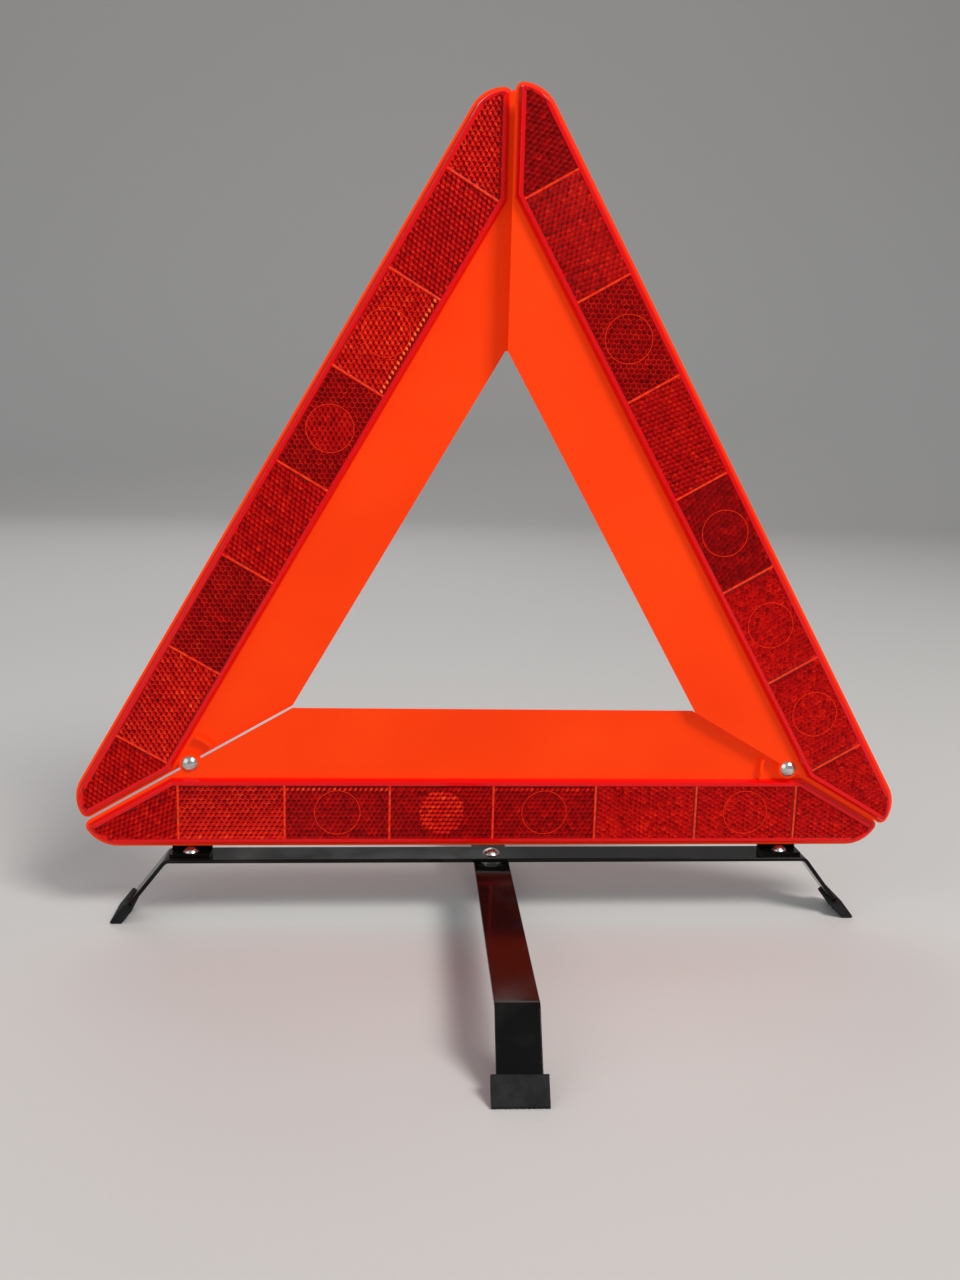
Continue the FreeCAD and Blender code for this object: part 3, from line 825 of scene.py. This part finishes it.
    def model_cell(self, number: int, rng: random.Random) -> bpy.types.Object:
        """Fill one cell with prisms and give every facet its painted light.

        Args:
            number: The cell's number along the arm.
            rng: Source of the small differences between prisms.

        Returns:
            The cell's prisms as one piece.
        """
        cell = self.cells[number]
        turn = cell.weave.value[3]
        low, high = self.cell_bounds(number)
        middle = Vector(((low + high) / 2, self.band / 2, self.floor))
        span = math.hypot(high - low, self.band)
        stud = self.prism.model()
        points = len(stud.data.vertices)
        faces = len(stud.data.polygons)
        rows = int(span / self.prism.pitch) + 10
        self.repeat(stud, rows, Vector((self.prism.pitch, 0.0, 0.0)))
        self.repeat(stud, rows, Vector((self.prism.pitch / 2, self.prism.radius * 1.5, 0.0)))
        reach = (rows - 1) / 2
        shift = Vector((-self.prism.pitch * 1.5 * reach, -self.prism.radius * 1.5 * reach, 0))
        turned = Matrix.Rotation(math.radians(turn), 4, "Z") @ Matrix.Translation(shift)
        settle(stud, Matrix.Translation(middle) @ turned)
        places = self.block_places(stud, points)
        kept = []
        for place in places:
            room = self.clearance(place.x, place.y) - self.field_inset
            kept.append(low < place.x < high and room > 0.0)
        bpy.ops.object.mode_set(mode="EDIT")
        mesh = bmesh.from_edit_mesh(stud.data)
        bpy.ops.mesh.select_all(action="DESELECT")
        bpy.ops.mesh.select_mode(type="VERT")
        for vertex in mesh.verts:
            vertex.select_set(not kept[vertex.index // points])
        bmesh.update_edit_mesh(stud.data)
        bpy.ops.mesh.delete(type="VERT")
        bpy.ops.object.mode_set(mode="OBJECT")
        self.paint_cell_light(stud, cell, faces, middle, rng)
        return stud

    @staticmethod
    def repeat(piece: bpy.types.Object, count: int, step: Vector) -> None:
        """Repeat a piece in a straight row.

        Args:
            piece: The piece, which becomes the row.
            count: How many there are.
            step: From one to the next.
        """
        choose(piece)
        row = piece.modifiers.new("row", "ARRAY")
        row.use_relative_offset = False
        row.use_constant_offset = True
        row.constant_offset_displace = step
        row.count = count
        bpy.ops.object.modifier_apply(modifier=row.name)

    @staticmethod
    def block_places(piece: bpy.types.Object, size: int) -> list[Vector]:
        """Middles of the equal blocks of vertices that make up a piece."""
        points = [vertex.co for vertex in piece.data.vertices]
        return [sum(points[start:start + size], Vector()) / size
                for start in range(0, len(points), size)]

    def paint_cell_light(self, piece: bpy.types.Object, cell: Cell, faces: int, middle: Vector,
                  rng: random.Random) -> None:
        """Give each facet its painted light and shade.

        Args:
            piece: The cell's prisms.
            cell: How the cell looks.
            faces: Faces of one prism.
            middle: Middle of the cell.
            rng: Source of the small differences between prisms.
        """
        painted_light, facet_shade, outline, _ = cell.weave.value
        painted_lights = []
        own = 0.0
        for face in piece.data.polygons:
            if face.index % faces == 0:
                own = rng.gauss(0.0, 0.05)
            # The studs' sides get a fixed dark painted shade.
            if face.normal.z < 0.5:
                painted_lights.append(0.2)
                continue
            # Outlines of the hexagons get painted light round the cell's outline value.
            if len(face.vertices) == 4:
                painted_lights.append(min(max(outline + own + rng.gauss(0.0, 0.08), 0.0), 1.0))
                continue
            # The three facets are painted lighter and darker, as if facing the light
            # differently.
            facet = int((math.atan2(face.normal.y, face.normal.x) / math.tau + 1.5) * 3) % 3
            value = painted_light + own + facet_shade * (facet - 1) + rng.gauss(0.0, 0.035)
            across = (face.center.y - middle.y) / (self.band / 2)
            # Painted light that slopes across the band.
            value += cell.light_lean * across
            distance = (face.center.xy - middle.xy).length
            # Painted lighter disc inside the ring.
            if distance < self.ring_radius and facet > 0:
                value += cell.lit_disc
            # Painted glints along the field's outer edge.
            edge_room = self.band - self.rim - self.field_inset - face.center.y
            if edge_room < self.prism.pitch and facet == 2:
                value += cell.glint_fringe
            painted_lights.append(min(max(value, 0.0), 1.0))
        paint(piece, "painted_light", "FACE", painted_lights)

    def model_rib(self, number: int) -> bpy.types.Object:
        """Model the rib at one end of a cell, as a bar with rounded edges.

        Args:
            number: The rib's number along the arm.

        Returns:
            The rib.
        """
        length = self.band - 2 * (self.rim + self.field_inset) + self.rib_reach
        clear_selection()
        bpy.ops.mesh.primitive_cube_add(size=1.0)
        bar = bpy.context.object
        bpy.ops.object.mode_set(mode="EDIT")
        bpy.ops.transform.resize(value=(self.rib, length, self.recess * 0.95))
        bpy.ops.mesh.bevel(offset=self.rib_edge, segments=2, affect="EDGES")
        bpy.ops.object.mode_set(mode="OBJECT")
        place = Vector(((number - self.middle_rib) * self.cell_pitch, self.band / 2,
                        self.floor + self.recess * 0.475))
        settle(bar, Matrix.Translation(place))
        return bar

    def model_ring(self, number: int) -> bpy.types.Object:
        """Model the plain moulded ring in the middle of a cell.

        Args:
            number: The cell's number along the arm.

        Returns:
            The ring.
        """
        low, high = self.cell_bounds(number)
        clear_selection()
        bpy.ops.mesh.primitive_torus_add(
            major_radius=self.ring_radius, minor_radius=self.ring_wire, major_segments=72,
            minor_segments=6)
        ring = bpy.context.object
        # The ring is painted bright on the prisms' scale of painted light.
        paint(ring, "painted_light", "FACE", [0.84] * len(ring.data.polygons))
        settle(ring, Matrix.Translation(((low + high) / 2, self.band / 2,
                                         self.face - self.ring_wire)))
        return ring

    def build(self, place: Matrix, finishes: dict[str, bpy.types.Material]
              ) -> bpy.types.Object:
        """Model the whole moulding and put it in its place.

        Args:
            place: Matrix from the flat moulding to the object's frame.
            finishes: Materials by name.

        Returns:
            The finished piece.
        """
        rng = random.Random(self.seed)
        shell = self.model_moulding()
        shell.data.materials.append(finishes["clear_red"])
        parts = [shell]
        for number, cell in enumerate(self.cells):
            prisms = self.model_cell(number, rng)
            prisms.data.materials.append(finishes["prism_red"])
            parts.append(prisms)
            if number < len(self.cells) - 1:
                bar = self.model_rib(number)
                bar.data.materials.append(finishes["rib_red"])
                parts.append(bar)
            if cell.ring:
                ring = self.model_ring(number)
                ring.data.materials.append(finishes["prism_red"])
                parts.append(ring)
        choose(*parts)
        bpy.ops.object.join()
        piece = bpy.context.object
        piece.name = self.name
        settle(piece, place)
        return piece


class Arm(Enum):
    """The three arms: turn about the triangle's middle in degrees, row of layers counted
    towards the rear, body that carries the arm, and the arm's cells."""

    BASE = (0.0, 0, "base", BASE_CELLS)
    LEFT = (-120.0, 1, "left_arm", LEFT_CELLS)
    RIGHT = (120.0, -1, "right_arm", RIGHT_CELLS)


@dataclass
class Triangle:
    """The three arms' reflector mouldings."""

    finishes: dict[str, bpy.types.Material]
    side: float = 450 * MM
    layer: float = 5 * MM

    def arm_place(self, arm: Arm) -> Matrix:
        """Find an arm's place.

        Args:
            arm: The arm.

        Returns:
            Matrix from the arm's own frame (X along it, Z inwards) to the object's.
        """
        turn, row, _, _ = arm.value
        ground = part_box("base_carrier")[0][2]
        middle = Vector((0.0, 0.0, ground + self.side * math.sqrt(3.0) / 6))
        about = Matrix.Rotation(math.radians(turn), 4, Vector((0.0, -1.0, 0.0)))
        shift = Matrix.Translation((0.0, row * self.layer, 0.0))
        to_base = Matrix.Translation((0.0, 0.0, ground))
        return (shift @ Matrix.Translation(middle) @ about @ Matrix.Translation(-middle)
                @ to_base)

    def build(self) -> None:
        """Model and fasten all six mouldings."""
        front = Matrix.Rotation(math.radians(90.0), 4, "X")
        rear = Matrix(((-1, 0, 0, 0), (0, 0, 1, 0), (0, 1, 0, 0), (0, 0, 0, 1)))
        for number, arm in enumerate(Arm):
            _, _, body, cells = arm.value
            stem = arm.name.lower()
            for facing, stand in (("front", front), ("rear", rear)):
                moulding = Reflector(f"{stem}_reflector_{facing}", cells, 40 + number)
                piece = moulding.build(self.arm_place(arm) @ stand, self.finishes)
                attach(piece, body)
                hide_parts(f"{stem}_lens_{facing}")
                LOG.info("%s: %d faces", piece.name, len(piece.data.polygons))


@dataclass
class PackedPieces:
    """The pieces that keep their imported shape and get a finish."""

    finishes: dict[str, bpy.types.Material]
    slots: dict[str, str] = field(default_factory=lambda: {
        "orange_sheet": "moulded_orange", "red_reflector": "clear_red",
        "black_steel": "black_paint", "bright_rivets": "bright_rivet",
        "rubber_feet": "foot_rubber"})

    def dress(self) -> None:
        """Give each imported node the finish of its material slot."""
        for entry in frame["record"]["subparts"]:
            piece = frame["nodes"][entry["node"]]
            finish = self.finishes[self.slots[entry["material_slot"]]]
            for slot in piece.material_slots:
                slot.material = finish
            LOG.info("%s: %s", entry["node"], finish.name)


# --- Studio ---------------------------------------------------------------------------


@dataclass
class Studio:
    """Pale floor, soft lights and the camera."""

    floor_finish: bpy.types.Material
    floor_size: float = 40.0
    wall_place: float = 4.0
    focal: float = 33.088
    camera_place: tuple[float, float, float] = (-0.05863, -0.57356, 0.24825)
    camera_right: tuple[float, float, float] = (0.9962, -0.0817, 0.0274)
    camera_forward: tuple[float, float, float] = (0.0853, 0.9802, -0.1786)

    def lay_floor(self) -> None:
        """Lay the floor under the feet and sweep it up behind them."""
        clear_selection()
        bpy.ops.mesh.primitive_plane_add(size=self.floor_size)
        floor = bpy.context.object
        floor.name = "floor"
        bpy.ops.object.mode_set(mode="EDIT")
        pick_points(floor, lambda point: point.y > 0.0)
        bpy.ops.transform.translate(value=(0.0, self.wall_place - self.floor_size / 2, 0.0))
        bpy.ops.mesh.extrude_region_move(
            TRANSFORM_OT_translate={"value": (0.0, 0.0, self.floor_size / 2)})
        pick_points(floor, lambda point: point.y > 0.0 and point.z < 0.1)
        bpy.ops.mesh.bevel(offset=1.5, segments=24, affect="EDGES")
        bpy.ops.object.mode_set(mode="OBJECT")
        bpy.ops.object.shade_smooth()
        floor.data.materials.append(self.floor_finish)

    @staticmethod
    def hang_light(name: str, place: Vector, size: float, power: float,
                   colour: tuple[float, float, float]) -> None:
        """Hang a square soft light that looks at the triangle's middle.

        Args:
            name: Name of the light.
            place: Where it hangs.
            size: Side of the square.
            power: Watts.
            colour: Linear colour.
        """
        target = Vector((0.0, 0.0, 0.17))
        light = bpy.data.lights.new(name, "AREA")
        light.size = size
        light.energy = power
        light.color = colour
        holder = bpy.data.objects.new(name, light)
        holder.location = place
        holder.rotation_euler = (target - place).to_track_quat("-Z", "Y").to_euler()
        bpy.context.scene.collection.objects.link(holder)

    def light(self) -> None:
        """Light the scene: a key from the front right, a fill and a soft surround."""
        self.hang_light("key", Vector((1.1, -1.3, 1.9)), 0.8, 46.0, (1.0, 0.975, 0.94))
        self.hang_light("fill", Vector((-1.7, -1.2, 1.1)), 1.8, 10.0, (0.94, 0.97, 1.0))
        self.hang_light("back", Vector((-0.4, 1.9, 1.7)), 1.6, 12.0, (1.0, 1.0, 1.0))
        world = bpy.data.worlds.new("surround")
        world.use_nodes = True
        surround = world.node_tree.nodes["Background"]
        surround.inputs["Color"].default_value = (0.86, 0.89, 0.93, 1.0)
        surround.inputs["Strength"].default_value = 0.38
        bpy.context.scene.world = world

    def set_camera(self) -> None:
        """Set up the camera."""
        right = Vector(self.camera_right).normalized()
        forward = Vector(self.camera_forward).normalized()
        up = right.cross(forward).normalized()
        right = forward.cross(up)
        basis = Matrix((right, up, -forward)).transposed().to_4x4()
        lens = bpy.data.cameras.new("camera")
        lens.lens = self.focal
        lens.sensor_width = 36.0
        lens.clip_start = 0.01
        holder = bpy.data.objects.new("camera", lens)
        holder.matrix_world = Matrix.Translation(self.camera_place) @ basis
        bpy.context.scene.collection.objects.link(holder)
        bpy.context.scene.camera = holder

    def build(self) -> None:
        """Lay the floor, hang the lights and set up the camera."""
        self.lay_floor()
        self.light()
        self.set_camera()
        bpy.context.scene.view_settings.view_transform = "Standard"


def main() -> None:
    """Model, dress and light the warning triangle."""
    logging.basicConfig(level=logging.INFO, format="%(name)s: %(message)s")
    looks = (OrangeSheet(), ClearRed(), PrismRed(), RibRed(), BlackPaint(), BrightRivet(),
             FootRubber())
    finishes = {material.name: material for material in (look.material() for look in looks)}
    Studio(PaleFloor().material()).build()
    PackedPieces(finishes).dress()
    Triangle(finishes).build()


if __name__ == "__main__":
    main()
